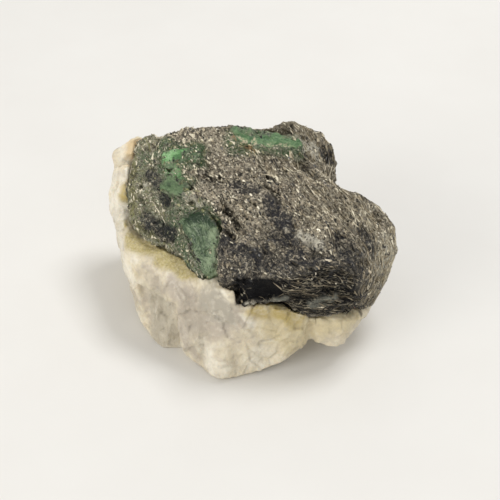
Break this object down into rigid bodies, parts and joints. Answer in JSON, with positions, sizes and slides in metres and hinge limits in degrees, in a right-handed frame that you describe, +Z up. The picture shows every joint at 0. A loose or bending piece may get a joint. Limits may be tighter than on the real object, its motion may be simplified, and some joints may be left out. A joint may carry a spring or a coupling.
{
  "type": "emerald in matrix specimen",
  "caption": "Natural mineral hand specimen: a slab of dark mica schist with cloudy green emerald crystals, on a base of milky quartz that stands on its own flat sole.",
  "frame": {"origin": "on the ground, under the middle of the specimen's bounding box", "axes": "+X to the right along the broad front, +Y to the back, +Z up"},
  "size_m": [0.0638, 0.0492, 0.0383],
  "materials": {
    "quartz": "milky quartz, broken, slightly waxy, stained yellow along the schist",
    "schist": "dark mica schist, granular and foliated, with small bright mica flakes",
    "emerald": "cloudy green beryl with lengthwise streaks, satin"
  },
  "bodies": {
    "root": {"quartz_base": "quartz", "mica_schist": "schist", "emerald_front": "emerald", "emerald_left": "emerald", "emerald_left_low": "emerald", "emerald_top": "emerald"}
  },
  "joints": []
}
